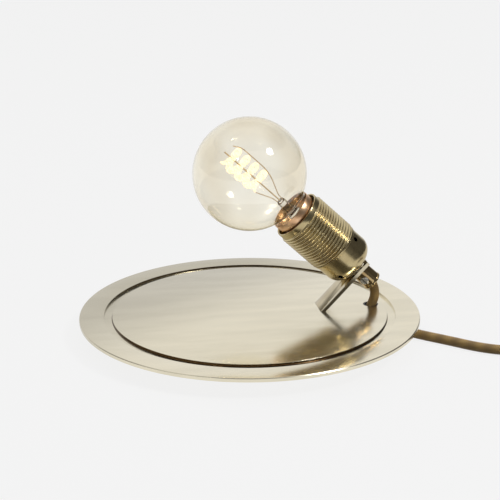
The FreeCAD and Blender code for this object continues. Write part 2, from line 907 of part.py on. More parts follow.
def make_filament():
    """The spiral filament, one unbroken wire of square section wound round the middle post."""
    edges = []
    for i in range(int(round(2 * filament_turns))):
        a, b = i / 2, (i + 1) / 2
        edges += biarc(filament_point(a), filament_heading(a), filament_point(b), filament_heading(b))
    path = Part.Wire(edges)
    wire_d = 2 * filament_wire_r
    print("filament least self gap", round(least_self_gap(path, 12, wire_d, 1.0), 2))
    return in_head(swept(path, filament_wire_r, 3))


def make_wires():
    """The middle post and the two lead wires that carry the filament's ends."""
    last = filament_point(filament_turns)
    post_top = last.z - 3
    top = stem_top - 0.02
    near_end = V(filament_r, 0, filament_start + filament_wire_r + 0.3)
    side = filament_r + 3.1
    far_end = V(-filament_r, 0, last.z - filament_wire_r - lead_wire_r - 0.5)
    routes = [
        [V(1.9, 0, top), V(2.3, 0, top - 5), near_end],
        [V(-1.9, 0, top), V(-2.4, 0, top - 4), V(-side, 0, filament_start - 2)],
    ]
    routes[1] += [V(-side, 0, last.z + 4), far_end]
    wires = [rod(post_r, top - post_top, V(0, 0, top), V(0, 0, -1))]
    for route in routes:
        path, _ = rounded_path(route)
        wires.append(swept(path, lead_wire_r, 4))
    return in_head(Part.makeCompound(wires))


# ---------------------------------------------------------------- switch on the cord
def switch_place():
    start = cord_lead_route[-1]
    return FreeCAD.Placement(V(start.x, start.y, 0), FreeCAD.Rotation(V(0, 0, 1), switch_heading))


def on_switch(shape):
    placed = shape.copy()
    placed.Placement = switch_place().multiply(placed.Placement)
    return placed


def switch_outline(z0, z1):
    """A lozenge along X, as wide as the cord needs at both ends."""
    half_w = switch_w / 2
    end_w = cord_r + switch_end_room
    points = [
        V(0, -end_w, 0),
        V(switch_taper, -half_w, 0),
        V(switch_len - switch_taper, -half_w, 0),
        V(switch_len, -end_w, 0),
        V(switch_len, end_w, 0),
        V(switch_len - switch_taper, half_w, 0),
        V(switch_taper, half_w, 0),
        V(0, end_w, 0),
    ]
    face = Part.Face(Part.makePolygon(points + points[:1]))
    face.translate(V(0, 0, z0))
    return face.extrude(V(0, 0, z1 - z0))


def make_switch_base():
    shell = switch_outline(0, switch_split)
    shell = shell.makeChamfer(1.2, [e for e in shell.Edges if e.BoundBox.ZMax < 0.01])
    return on_switch(shell.cut([switch_cavity()] + switch_cord_way()))


def switch_cavity():
    half = switch_w / 2 - switch_wall
    low = V(switch_taper, -half, switch_wall)
    return box_between(low, V(switch_len - switch_taper, half, switch_h - switch_wall))


def switch_cord_way():
    """The way in for the cord at both ends: a seat that is as deep as the housing's tapered ends."""
    ways = []
    for x in (-1, switch_len - switch_taper - 1):
        ways.append(rod(cord_r + gap, switch_taper + 2, V(x, 0, cord_r), V(1, 0, 0)))
    return ways


def make_switch_cover():
    """The upper shell, with the rocker's window and two cheeks inside that hold its pivot pins."""
    shell = switch_outline(switch_split + gap, switch_h)
    shell = shell.makeChamfer(2.4, [e for e in shell.Edges if e.BoundBox.ZMin > switch_h - 0.01])
    shell = shell.cut(switch_cavity())
    middle = switch_len / 2
    window_x = rocker_len / 2 + rocker_clear
    window_y = rocker_w / 2 + rocker_clear
    roof = switch_h - switch_wall
    low = V(middle - window_x, -window_y, roof - 1)
    shell = shell.cut(box_between(low, V(middle + window_x, window_y, switch_h + 1)))
    for sign in (-1, 1):
        inner, outer = sorted((sign * window_y, sign * (window_y + rocker_cheek_t)))
        low = V(middle - 3, inner, rocker_axis_z() - 3)
        shell = shell.fuse(box_between(low, V(middle + 3, outer, roof + 0.2)))
    pin_span = rocker_w + 2 * rocker_pin_len + 1
    hole = rod(rocker_pin_r + gap, pin_span, V(middle, -pin_span / 2, rocker_axis_z()), V(0, 1, 0))
    return on_switch(shell.cut(hole).removeSplitter())


def rocker_axis_z():
    return switch_h - rocker_axis_depth


def make_rocker():
    """The rocker: a key with a dished top, a pivot pin at each side, tipped to its on end."""
    half = rocker_len / 2
    top = rocker_axis_depth + rocker_rise
    end = half - rocker_draft
    outline = [
        V(-end, 0, top),
        V(-half, 0, rocker_axis_depth - 2.4),
        V(-half + 3.0, 0, -1.5),
        V(-2.2, 0, -3.2),
        V(2.2, 0, -3.2),
        V(half - 3.0, 0, -1.5),
        V(half, 0, rocker_axis_depth - 2.4),
        V(end, 0, top),
    ]
    edges = [Part.LineSegment(a, b).toShape() for a, b in zip(outline, outline[1:])]
    edges.append(Part.Arc(outline[-1], V(0, 0, top - rocker_dish), outline[0]).toShape())
    key = Part.Face(Part.Wire(edges))
    key.translate(V(0, -rocker_w / 2, 0))
    key = key.extrude(V(0, rocker_w, 0))
    span = rocker_w + 2 * rocker_pin_len
    key = key.fuse(rod(rocker_pin_r, span, V(0, -span / 2, 0), V(0, 1, 0)))
    key.rotate(V(0, 0, 0), V(0, 1, 0), rocker_tilt)
    key.translate(V(switch_len / 2, 0, rocker_axis_z()))
    return on_switch(key.removeSplitter())


# ---------------------------------------------------------------- coil and plug
def coil_start():
    """The coil's lead-in: its first point at the switch, its end, its heading, and the coil's centre."""
    a = math.radians(switch_heading)
    heading = V(math.cos(a), math.sin(a), 0)
    start = cord_lead_route[-1] + heading * switch_len
    entry = start + heading * coil_lead_in
    centre = entry + V(-heading.y, heading.x, 0) * coil_outer_r
    return start, entry, heading, centre


def coil_radius(quarters):
    """The spiral runs in and out again at a steady rate, one layer after another."""
    layer, done = divmod(min(quarters, coil_layers * quarters_per_layer - 1e-9), quarters_per_layer)
    share = done / quarters_per_layer
    if int(layer) % 2:
        share = 1 - share
    return coil_outer_r - coil_pitch * quarters_per_layer / 4 * share


def coil_height(quarters):
    """Each layer is level, and the half turn round each reversal climbs to the next."""
    height = cord_r
    for reversal in range(1, coil_layers):
        across = (quarters - (reversal * quarters_per_layer - 1)) / 2
        across = min(max(across, 0.0), 1.0)
        height += coil_pitch * (1 - math.cos(math.pi * across)) / 2
    return height


def coil_point(quarters):
    _, _, heading, centre = coil_start()
    first = math.atan2(heading.y, heading.x) - math.pi / 2
    a = first + quarters * math.pi / 2
    r = coil_radius(quarters)
    return V(centre.x + r * math.cos(a), centre.y + r * math.sin(a), coil_height(quarters))


def coil_heading(quarters):
    total = coil_layers * quarters_per_layer
    if quarters <= 0:
        return coil_start()[2]
    small = 0.02
    heading = coil_point(min(quarters + small, total)) - coil_point(quarters - small)
    if quarters >= total:
        heading.z = 0
    return heading.normalize()


def make_coil():
    """The put-away length: in along the table, round the coil's layers, and out to the plug."""
    start, entry, _, _ = coil_start()
    total = coil_layers * quarters_per_layer
    edges = [Part.LineSegment(start, entry).toShape()]
    stations = [0] + list(range(1, total, 2)) + [total]
    for i, j in zip(stations, stations[1:]):
        edges += biarc(edge_end(edges), coil_heading(i), coil_point(j), coil_heading(j))
    last = edge_end(edges)
    out = coil_heading(total)
    rise = V(0, 0, plug_flat - last.z)
    edges += biarc(last, out, last + out * coil_lead_out + rise, out)
    edges.append(Part.LineSegment(edge_end(edges), edge_end(edges) + out * cord_end_straight).toShape())
    path = Part.Wire(edges)
    gap_found = least_self_gap(path, 2.5 * coil_outer_r, cord_d, 2.0)
    print("coil length", round(path.Length, 1), "least self gap", round(gap_found, 2))
    tube = swept(path, cord_r, coil_sides)
    expected = section_area(cord_r, coil_sides) * path.Length
    print("coil volume over section x length", round(tube.Volume / expected, 4))
    return tube, path.Length, edge_end(edges), out


def edge_end(edges):
    return edges[-1].valueAt(edges[-1].LastParameter)


def plug_place(end, heading):
    turn = FreeCAD.Rotation(V(0, 0, 1), math.degrees(math.atan2(heading.y, heading.x)))
    return FreeCAD.Placement(end, turn.multiply(FreeCAD.Rotation(V(0, 1, 0), 90)))


def make_plug(end, heading):
    """The plug's body: a tapered tail, a round grip, a wider flatted front and two earth notches."""
    full = plug_tail_len + plug_len
    front = full - plug_front_len
    outline = [(0, 0), (cord_r + 1.0, 0), (plug_tail_r, plug_tail_len), (plug_grip_r - 3, plug_tail_len + 3)]
    outline += [(plug_grip_r, plug_tail_len + 9), (plug_grip_r, front - 2), (plug_r, front)]
    outline += [(plug_r, full), (0, full)]
    body = turned(outline, plug_sides)
    for sign in (-1, 1):
        flat = box_between(V(-plug_r, -plug_r, -1), V(plug_r, plug_r, full + 1))
        flat.translate(V(sign * (plug_r + plug_flat), 0, 0))
        body = body.cut(flat)
        half = plug_notch_w / 2
        notch = box_between(V(-plug_notch_depth, -half, front + 2), V(5, half, full + 1))
        if sign < 0:
            notch.rotate(V(0, 0, 0), V(0, 0, 1), 180)
        notch.translate(V(sign * plug_flat, 0, 0))
        body = body.cut(notch)
    for place in pin_places():
        body = body.cut(rod(pin_r + gap, pin_seat, V(place.x, place.y, full - pin_seat)))
    body.Placement = plug_place(end, heading)
    return body


def make_earth_clips(end, heading):
    """The two sprung earth contacts, bowed strips in the plug's notches."""
    full = plug_tail_len + plug_len
    low = full - plug_front_len + 2
    floor = plug_flat - plug_notch_depth
    bow = [
        V(floor + 0.02, 0, low + 0.02),
        V(floor + 0.02, 0, full - 0.5),
        V(floor + 0.6, 0, full - 0.5),
        V(floor + 2.0, 0, (low + full) / 2 + 1),
        V(floor + earth_clip_t, 0, low + 0.02),
    ]
    clips = []
    for turn in (0, 180):
        face = Part.Face(Part.makePolygon(bow + bow[:1]))
        face.translate(V(0, -earth_clip_w / 2, 0))
        clip = face.extrude(V(0, earth_clip_w, 0))
        clip.rotate(V(0, 0, 0), V(0, 0, 1), turn)
        clips.append(clip)
    clips = Part.makeCompound(clips)
    clips.Placement = plug_place(end, heading)
    return clips


def pin_places():
    for sign in (-1, 1):
        yield V(0, sign * pin_spacing / 2, 0)


def make_pins(end, heading):
    full = plug_tail_len + plug_len
    pins = []
    for place in pin_places():
        length = pin_seat + pin_len
        outline = [(0, 0), (pin_r, 0), (pin_r, length - 1.5), (pin_r - 1.2, length), (0, length)]
        pin = turned(outline, small_sides)
        pin.translate(V(place.x, place.y, full - pin_seat))
        pins.append(pin)
    pins = Part.makeCompound(pins)
    pins.Placement = plug_place(end, heading)
    return pins


# ---------------------------------------------------------------- build
def build():
    save("base_plate", make_plate())
    for i, place in enumerate(foot_places()):
        save("foot_" + str(i + 1), make_foot(place))
    save("foot_screws", make_foot_screws())
    save("bracket", make_bracket())
    save("bracket_screws", make_bracket_screws())
    save("cord_bush", make_bush())
    save("cord_clamp", make_clamp())
    save("cord_clamp_screws", make_clamp_screws())

    save("threaded_sleeve", make_sleeve())
    save("dome_cap", make_dome())
    save("threaded_nipple", make_nipple())
    save("lock_washer", make_washer())
    save("screw_shell", make_screw_shell())
    save("ceramic_insert", make_ceramic())
    save("terminal_screws", make_terminal_screws())
    save("earth_screw", make_earth_screw())
    save("centre_contact", make_centre_contact())
    save("conductors", make_conductors())
    save("cord_grip", make_grip())
    save("grip_pad", make_grip_pad())
    save("grip_screw", make_grip_screw())

    save("bulb_glass", make_glass())
    save("bulb_cap", make_cap())
    save("cap_insulator", make_insulator())
    save("tip_contact", make_tip())
    save("glass_stem", make_stem())
    save("filament", make_filament())
    save("filament_wires", make_wires())

    through, through_len = make_cord("cord_through", cord_through)
    save("cord_through", through)
    lead, lead_len = make_cord("cord_lead", cord_lead_route)
    save("cord_lead", lead)
    save("switch_base", make_switch_base())
    save("switch_cover", make_switch_cover())
    save("switch_rocker", make_rocker())
    coil, coil_len, end, heading = make_coil()
    save("cord_coil", coil)
    save("plug_body", make_plug(end, heading))
    save("plug_pins", make_pins(end, heading))
    save("plug_earth_clips", make_earth_clips(end, heading))
    print("plug starts at", [round(x, 3) for x in end], "heading", [round(x, 5) for x in heading])
    free = lead_len + switch_len + coil_len
    print("free cord", round(free, 1), "whole cord", round(free + through_len, 1))


build()
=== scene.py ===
"""The looks of a bare bulb table lamp: satin brass plate, slanted threaded lampholder, clear globe bulb
with a glowing spiral filament, and a braided textile cord.

Metres, in the same frame as the solid model. Sizes are written in millimetres, times MM.
"""

import json
import math

import bmesh
import bpy
from mathutils import Matrix, Vector

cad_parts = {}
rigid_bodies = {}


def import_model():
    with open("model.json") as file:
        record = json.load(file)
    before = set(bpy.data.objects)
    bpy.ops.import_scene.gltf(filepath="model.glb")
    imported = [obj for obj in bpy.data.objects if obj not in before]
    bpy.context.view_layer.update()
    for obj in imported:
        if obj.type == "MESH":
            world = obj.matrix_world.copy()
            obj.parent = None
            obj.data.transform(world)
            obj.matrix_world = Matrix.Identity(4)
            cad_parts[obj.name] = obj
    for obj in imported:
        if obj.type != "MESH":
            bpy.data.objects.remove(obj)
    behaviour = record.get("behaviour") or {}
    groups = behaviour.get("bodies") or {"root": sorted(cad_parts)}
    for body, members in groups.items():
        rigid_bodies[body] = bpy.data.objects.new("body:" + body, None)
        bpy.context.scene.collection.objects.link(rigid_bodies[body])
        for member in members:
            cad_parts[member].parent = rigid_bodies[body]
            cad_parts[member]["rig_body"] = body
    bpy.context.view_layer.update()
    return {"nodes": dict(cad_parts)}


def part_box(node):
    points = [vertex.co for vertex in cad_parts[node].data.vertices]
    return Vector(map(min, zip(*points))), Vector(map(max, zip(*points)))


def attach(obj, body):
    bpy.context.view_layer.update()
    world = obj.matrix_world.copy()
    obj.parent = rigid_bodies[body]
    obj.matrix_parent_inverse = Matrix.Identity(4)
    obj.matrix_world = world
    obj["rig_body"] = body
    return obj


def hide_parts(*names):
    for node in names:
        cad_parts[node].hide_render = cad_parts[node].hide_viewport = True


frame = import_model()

scene = bpy.context.scene

# ---------------------------------------------------------------- sizes
MM = 0.001

# base plate
plate_r = 122 * MM
plate_under = 12 * MM
plate_top = 15 * MM
groove_inner_r = 98.5 * MM
groove_outer_r = 104.5 * MM
groove_depth = 1.8 * MM
# painted shade on the plate: its tone falls to the level towards its far left, along this direction
painted_shade_direction = (0.6, -0.8)
painted_shade_start = 20 * MM
painted_shade_end = -85 * MM
painted_shade_level = 0.66
hole_x = 89.5 * MM
hole_r = 5.5 * MM

# lampholder: the centre of its open rim, and how far its axis leans from level
rim = Vector((33.6, 0, 86.2)) * MM
head_tilt = math.radians(43.3)

# sleeve
sleeve_len = 38.6 * MM
thread_r = 20 * MM
thread_depth = 1.1 * MM
thread_pitch = 2.5 * MM
thread_turns = 13
collar_len = 4.2 * MM
sleeve_bore_r = 17.7 * MM
lip_r = 19.4 * MM

# dome
dome_r = 18.8 * MM
dome_straight_end = 49.75 * MM
dome_corner_r = 9.3 * MM
dome_wall = 1.0 * MM
boss_r = 6.5 * MM
boss_len = 1.3 * MM
nipple_r = 5 * MM
dome_holes = ((41.9, -55.3), (51.6, 38.5))
dome_hole_r = 1.8 * MM

# cord grip and its screw
strip_t = 2.6 * MM
washer_t = 0.6 * MM
strip_far = dome_straight_end + dome_corner_r + boss_len + washer_t + strip_t
grip_r = 6.9 * MM
grip_len = 14.7 * MM
grip_lip_r = 7.3 * MM
grip_screw_at = 7.4 * MM
grip_screw_turn = 28.5
grip_screw_head_r = 3.1 * MM
grip_screw_face = 7.4 * MM
slot_turn = 90

# bulb
globe_r = 40 * MM
globe_z = -45.8 * MM
glass_wall = 0.8 * MM
neck_r = 15.2 * MM
neck_blend_r = 4 * MM
skirt_r = 15.9 * MM
skirt_top = -5.6 * MM
skirt_end = 0.6 * MM
cap_r = 13.1 * MM
cap_wall = 0.4 * MM
insulator_r = 9 * MM
cap_foot_len = 2 * MM
cap_top = 3.4 * MM
cap_len = 19.6 * MM
cap_thread_pitch = 3.6 * MM
cap_thread_depth = 0.8 * MM
filament_r = 7 * MM
filament_pitch = 8.2 * MM
filament_turns = 4
filament_start = -34 * MM
filament_coil_r = 2.1 * MM
filament_coil_pitch = 2.1 * MM
filament_wire_r = 0.34 * MM

# cord
cord_d = 7 * MM
through_route = ((84.6, 0, 38.1), (95.5, 0, 27.8), (86.5, 0, 6.3), (88.6, -15.5, 6.3), (101.2, -25.2, 4.9))
lead_route = (
    (101.2, -25.2, 4.9),
    (113.8, -34.9, 3.5),
    (133.9, -52.4, 3.5),
    (149.5, -67.3, 3.5),
    (165.5, -76.6, 3.5),
    (183.0, -81.3, 3.5),
)
switch_heading = math.radians(-15)
switch_len = 64 * MM
coil_r = 51.5 * MM
coil_pitch = 7.8 * MM
coil_layers = 2
turns_per_layer = 3
points_per_turn = 24
coil_lead_in = 34 * MM
coil_lead_out = 46 * MM
cord_end_straight = 8 * MM
yarns = 8
braid_pitch = 1.6 * MM
braid_relief = 0.42 * MM
plug_start = Vector((329.223, -122.706, 16.5)) * MM
plug_heading = Vector((0.95486, -0.29706, 0))

head_place = Matrix.Translation(rim) @ Matrix.Rotation(math.pi / 2 + head_tilt, 4, "Y")


# ---------------------------------------------------------------- camera and studio
def make_camera():
    place = Vector((-166.452, -981.604, 389.422)) * MM
    ahead = Vector((0.159185, 0.93641, -0.312723))
    right = Vector((0.985666, -0.168676, -0.003347))
    up = right.cross(ahead)
    turn = Matrix((right, up, -ahead)).transposed()
    camera = bpy.data.cameras.new("camera")
    camera.lens = 106.31
    camera.sensor_width = 36
    camera.clip_end = 20
    holder = bpy.data.objects.new("camera", camera)
    scene.collection.objects.link(holder)
    holder.matrix_world = Matrix.Translation(place) @ turn.to_4x4()
    scene.camera = holder


def softbox(name, direction, distance, size, power, colour=(1, 1, 1)):
    lamp = bpy.data.lights.new(name, "AREA")
    lamp.shape = "DISK"
    lamp.size = size
    lamp.energy = power
    lamp.color = colour
    holder = bpy.data.objects.new(name, lamp)
    scene.collection.objects.link(holder)
    direction = Vector(direction).normalized()
    holder.matrix_world = Matrix.Translation(direction * distance) @ pointing(direction)


# ---------------------------------------------------------------- node helpers
class Nodes:
    """A small helper that adds shader nodes and links them."""

    def __init__(self, tree, fresh=True):
        self.tree = tree
        if fresh:
            tree.nodes.clear()

    def add(self, kind, **values):
        node = self.tree.nodes.new(kind)
        for key, value in values.items():
            setattr(node, key, value)
        return node

    def link(self, out, into):
        self.tree.links.new(out, into)

    def maths(self, operation, a, b=None, c=None, clamp=False):
        node = self.add("ShaderNodeMath", operation=operation, use_clamp=clamp)
        for socket, value in zip(node.inputs, (a, b, c)):
            self.feed(socket, value)
        return node.outputs[0]

    def feed(self, socket, value):
        if value is None:
            return
        if isinstance(value, bpy.types.NodeSocket):
            self.link(value, socket)
        else:
            socket.default_value = value

    def noise(self, scale, detail=2.0, coordinates=None, roughness=0.5):
        node = self.add("ShaderNodeTexNoise")
        node.inputs["Scale"].default_value = scale
        node.inputs["Detail"].default_value = detail
        node.inputs["Roughness"].default_value = roughness
        self.feed(node.inputs["Vector"], coordinates)
        return node.outputs["Fac"]

    def object_coordinates(self, scale=None):
        place = self.add("ShaderNodeTexCoord").outputs["Object"]
        if scale is None:
            return place
        node = self.add("ShaderNodeMapping")
        node.inputs["Scale"].default_value = scale
        self.link(place, node.inputs["Vector"])
        return node.outputs["Vector"]

    def remap(self, value, low, high, to_low, to_high):
        node = self.add("ShaderNodeMapRange", interpolation_type="SMOOTHSTEP")
        self.feed(node.inputs["Value"], value)
        for name, number in (("From Min", low), ("From Max", high), ("To Min", to_low), ("To Max", to_high)):
            node.inputs[name].default_value = number
        return node.outputs["Result"]

    def blend(self, share, a, b):
        node = self.add("ShaderNodeMix", data_type="RGBA")
        self.feed(node.inputs["Factor"], share)
        self.feed(node.inputs["A"], (*a, 1) if isinstance(a, tuple) else a)
        self.feed(node.inputs["B"], (*b, 1) if isinstance(b, tuple) else b)
        return node.outputs["Result"]

    def bump(self, height, distance, strength=1.0):
        node = self.add("ShaderNodeBump")
        node.inputs["Distance"].default_value = distance
        node.inputs["Strength"].default_value = strength
        self.link(height, node.inputs["Height"])
        return node.outputs["Normal"]


def new_material(name):
    material = bpy.data.materials.new(name)
    material.use_nodes = True
    return material, Nodes(material.node_tree)


def principled(nodes, colour, roughness, **constants):
    """The surface shader. Colour and roughness may be sockets, and the other values stay constants."""
    shader = nodes.add("ShaderNodeBsdfPrincipled")
    nodes.feed(shader.inputs["Base Color"], (*colour, 1) if isinstance(colour, tuple) else colour)
    nodes.feed(shader.inputs["Roughness"], roughness)
    for name, value in constants.items():
        nodes.feed(shader.inputs[name.replace("_", " ")], value)
    out = nodes.add("ShaderNodeOutputMaterial")
    nodes.link(shader.outputs[0], out.inputs["Surface"])
    return shader


# ---------------------------------------------------------------- studio
background = 0.888
studio_walls = (
    ((-0.10, -0.97, 0.22), 0.20, 0.80, 0.10),
    ((0.97, 0.10, 0.22), 0.50, 0.85, 0.10),
    ((-0.97, 0.10, 0.22), 0.70, 0.92, 0.25),
)
floor_colour = 0.10
floor_glow = 0.83


def make_world():
    """A pale studio with darker walls: in front, where the room behind the camera is, and at both sides."""
    world = bpy.data.worlds.new("studio")
    world.use_nodes = True
    scene.world = world
    nodes = Nodes(world.node_tree)
    direction = nodes.add("ShaderNodeTexCoord").outputs["Generated"]
    level = background
    for wall, start, full, dark in studio_walls:
        facing = nodes.add("ShaderNodeVectorMath", operation="DOT_PRODUCT")
        nodes.link(direction, facing.inputs[0])
        facing.inputs[1].default_value = wall
        level = nodes.maths("MULTIPLY", level, nodes.remap(facing.outputs["Value"], start, full, 1, dark))
    path = nodes.add("ShaderNodeLightPath")
    level = nodes.blend(path.outputs["Is Camera Ray"], level, (background, background, background))
    shader = nodes.add("ShaderNodeBackground")
    nodes.link(level, shader.inputs["Color"])
    out = nodes.add("ShaderNodeOutputWorld")
    nodes.link(shader.outputs[0], out.inputs["Surface"])


def make_floor():
    mesh = bpy.data.meshes.new("floor")
    half = 8.0
    corners = [(-half, -half, 0), (half, -half, 0), (half, half, 0), (-half, half, 0)]
    mesh.from_pydata(corners, [], [(0, 1, 2, 3)])
    floor = bpy.data.objects.new("floor", mesh)
    scene.collection.objects.link(floor)
    material, nodes = new_material("floor")
    lit = nodes.add("ShaderNodeBsdfDiffuse")
    lit.inputs["Color"].default_value = (floor_colour, floor_colour, floor_colour, 1)
    glow = nodes.add("ShaderNodeEmission")
    glow.inputs["Color"].default_value = (1, 1, 1, 1)
    path = nodes.add("ShaderNodeLightPath")
    seen = nodes.maths("ADD", path.outputs["Is Camera Ray"], path.outputs["Is Glossy Ray"], clamp=True)
    seen = nodes.maths("ADD", seen, path.outputs["Is Transmission Ray"], clamp=True)
    nodes.link(nodes.maths("MULTIPLY", seen, floor_glow), glow.inputs["Strength"])
    both = nodes.add("ShaderNodeAddShader")
    nodes.link(lit.outputs[0], both.inputs[0])
    nodes.link(glow.outputs[0], both.inputs[1])
    out = nodes.add("ShaderNodeOutputMaterial")
    nodes.link(both.outputs[0], out.inputs["Surface"])
    mesh.materials.append(material)


# ---------------------------------------------------------------- materials
def metal(name, colour, dark, roughness, scale, streak=(1, 1, 1), relief=0.0, spread=0.06):
    """A metal whose tone and roughness vary a little, as satin or aged brass does."""
    material, nodes = new_material(name)
    place = nodes.object_coordinates(streak)
    cloud = nodes.noise(scale, 4.0, place)
    fine = nodes.noise(scale * 14, 3.0, place)
    tone = nodes.blend(nodes.remap(cloud, 0.3, 0.7, 0, 1), colour, dark)
    rough = nodes.remap(nodes.maths("ADD", cloud, nodes.maths("MULTIPLY", fine, 0.5)), 0.5, 1.0,
                        roughness - spread / 2, roughness + spread / 2)
    shader = principled(nodes, tone, rough, Metallic=1.0)
    if relief:
        nodes.link(nodes.bump(fine, relief), shader.inputs["Normal"])
    return material


def paint_plate_shade(material, inner, wall, height, dark):
    """Paints shade: a dark painted shadow on the groove's inner wall, and the plate painted darker towards
    its far left.
    """
    nodes = Nodes(material.node_tree, fresh=False)
    shader = nodes.tree.nodes["Principled BSDF"]
    tone = shader.inputs["Base Color"].links[0].from_socket
    place = nodes.add("ShaderNodeSeparateXYZ")
    nodes.link(nodes.object_coordinates(), place.inputs[0])
    x, y, z = place.outputs
    square = nodes.maths("ADD", nodes.maths("MULTIPLY", x, x), nodes.maths("MULTIPLY", y, y))
    reach = nodes.maths("SQRT", square)
    # the groove's inner wall, where the dark painted shadow goes
    groove_shade_mask = nodes.maths("GREATER_THAN", reach, inner)
    groove_shade_mask = nodes.maths("MULTIPLY", groove_shade_mask, nodes.maths("LESS_THAN", reach, wall))
    groove_shade_mask = nodes.maths("MULTIPLY", groove_shade_mask, nodes.maths("LESS_THAN", z, height))
    # painted shade: the plate's colour gets darker along this direction, towards its far left
    along, across = painted_shade_direction
    lit = nodes.maths("ADD", nodes.maths("MULTIPLY", x, along), nodes.maths("MULTIPLY", y, across))
    dim = nodes.add("ShaderNodeHueSaturation")
    nodes.link(tone, dim.inputs["Color"])
    nodes.link(nodes.remap(lit, painted_shade_end, painted_shade_start, painted_shade_level, 1.0), dim.inputs["Value"])
    nodes.link(nodes.blend(groove_shade_mask, dim.outputs["Color"], dark), shader.inputs["Base Color"])
    return material


def plastic(name, colour, roughness, scale=400.0, relief=0.00002):
    material, nodes = new_material(name)
    grain = nodes.noise(scale, 3.0, nodes.object_coordinates())
    worn = nodes.noise(scale / 20, 2.0, nodes.object_coordinates())
    tone = nodes.blend(nodes.remap(worn, 0.35, 0.65, 0, 0.35), colour, tuple(0.8 * c for c in colour))
    shader = principled(nodes, tone, nodes.remap(grain, 0.3, 0.7, roughness - 0.05, roughness + 0.08))
    nodes.link(nodes.bump(grain, relief), shader.inputs["Normal"])
    return material


def clear_glass(name, tint, smoky, ior=1.45):
    """Thin clear glass that lets the lamps' light through, so that it throws no dark shadow."""
    material, nodes = new_material(name)
    glass = nodes.add("ShaderNodeBsdfGlass")
    cloud = nodes.noise(22.0, 1.0, nodes.object_coordinates())
    nodes.link(nodes.blend(nodes.remap(cloud, 0.38, 0.62, 0, 1), tint, smoky), glass.inputs["Color"])
    glass.inputs["Roughness"].default_value = 0.0
    glass.inputs["IOR"].default_value = ior
    clear = nodes.add("ShaderNodeBsdfTransparent")
    clear.inputs["Color"].default_value = (*tint, 1)
    path = nodes.add("ShaderNodeLightPath")
    through = nodes.maths("ADD", path.outputs["Is Shadow Ray"], path.outputs["Is Diffuse Ray"], clamp=True)
    mix = nodes.add("ShaderNodeMixShader")
    nodes.link(through, mix.inputs["Fac"])
    nodes.link(glass.outputs[0], mix.inputs[1])
    nodes.link(clear.outputs[0], mix.inputs[2])
    out = nodes.add("ShaderNodeOutputMaterial")
    nodes.link(mix.outputs[0], out.inputs["Surface"])
    return material


def glowing(name, colour, strength):
    material, nodes = new_material(name)
    glow = nodes.noise(300.0, 2.0, nodes.object_coordinates())
    level = nodes.remap(glow, 0.3, 0.7, 0.8 * strength, 1.2 * strength)
    principled(nodes, (0.3, 0.2, 0.1), 0.5, Emission_Color=(*colour, 1), Emission_Strength=level)
    return material


def textile(name, light, dark):
    """Braided yarn: painted shade darkens the gaps between the yarns' crests, and the tone varies from yarn
    to yarn.
    """
    material, nodes = new_material(name)
    crest = nodes.add("ShaderNodeAttribute", attribute_name="crest").outputs["Fac"]
    shade = nodes.add("ShaderNodeAttribute", attribute_name="shade").outputs["Fac"]
    fibre = nodes.noise(1800.0, 3.0, nodes.object_coordinates())
    # painted shade: dark in the gaps between the yarns, light on their crests
    tone = nodes.blend(nodes.remap(crest, 0.1, 0.9, 0, 1), dark, light)
    mixed = nodes.maths("MULTIPLY_ADD", shade, 0.4, nodes.maths("MULTIPLY", fibre, 0.5))
    tone = nodes.blend(nodes.remap(mixed, 0.2, 0.7, 0.0, 0.45), tone, dark)
    shader = principled(nodes, tone, 0.55, Sheen_Weight=0.12, Sheen_Roughness=0.4)
    shader.inputs["Sheen Tint"].default_value = (1.0, 0.85, 0.55, 1)
    nodes.link(nodes.bump(fibre, 0.00008), shader.inputs["Normal"])
    return material


brushed = (1, 6, 1)
plate_brass = metal("plate_brass", (0.83, 0.765, 0.60), (0.77, 0.71, 0.555), 0.20, 14.0, brushed, spread=0.05)
wall_start = groove_inner_r - 0.1 * MM
wall_end = groove_inner_r + 0.45 * MM
# the last colour is the painted shadow on the groove's inner wall
paint_plate_shade(plate_brass, wall_start, wall_end, plate_top - 0.15 * MM, (0.10, 0.062, 0.03))
holder_brass = metal("holder_brass", (0.60, 0.50, 0.28), (0.44, 0.345, 0.18), 0.21, 60.0, spread=0.03)
bracket_brass = metal("bracket_brass", (0.64, 0.57, 0.42), (0.50, 0.43, 0.30), 0.12, 60.0, spread=0.03)
grip_brass = metal("grip_brass", (0.56, 0.42, 0.22), (0.42, 0.29, 0.14), 0.14, 80.0, spread=0.03)
cap_brass = metal("cap_brass", (0.95, 0.64, 0.40), (0.80, 0.48, 0.27), 0.32, 200.0)
steel = metal("steel", (0.70, 0.70, 0.69), (0.58, 0.58, 0.57), 0.42, 120.0)
nickel = metal("nickel", (0.62, 0.60, 0.56), (0.52, 0.50, 0.46), 0.18, 120.0)
tin = metal("tin", (0.55, 0.55, 0.56), (0.44, 0.44, 0.45), 0.42, 400.0, relief=0.00005)
rubber = plastic("rubber", (0.022, 0.022, 0.022), 0.65)
black_plastic = plastic("black_plastic", (0.02, 0.018, 0.016), 0.38)
ceramic = plastic("ceramic", (0.72, 0.70, 0.66), 0.2, 200.0)
core_plastic = plastic("core_plastic", (0.35, 0.17, 0.08), 0.4)
globe_glass = clear_glass("globe_glass", (0.996, 0.987, 0.955), (0.970, 0.948, 0.895))
inner_glass = clear_glass("inner_glass", (0.99, 0.98, 0.96), (0.99, 0.98, 0.96))
filament_glow = glowing("filament_glow", (1.0, 0.87, 0.60), 1.35)
# painted glow: the support wires are given a faint glow of their own, standing in for the hot filament's
# light on them
painted_glow_wire = glowing("painted_glow_wire", (1.0, 0.74, 0.42), 0.30)
# the dark colour is the painted shade in the braid's gaps, and also the darker yarns' own tone
cord_textile = textile("cord_textile", (0.86, 0.56, 0.20), (0.050, 0.022, 0.007))


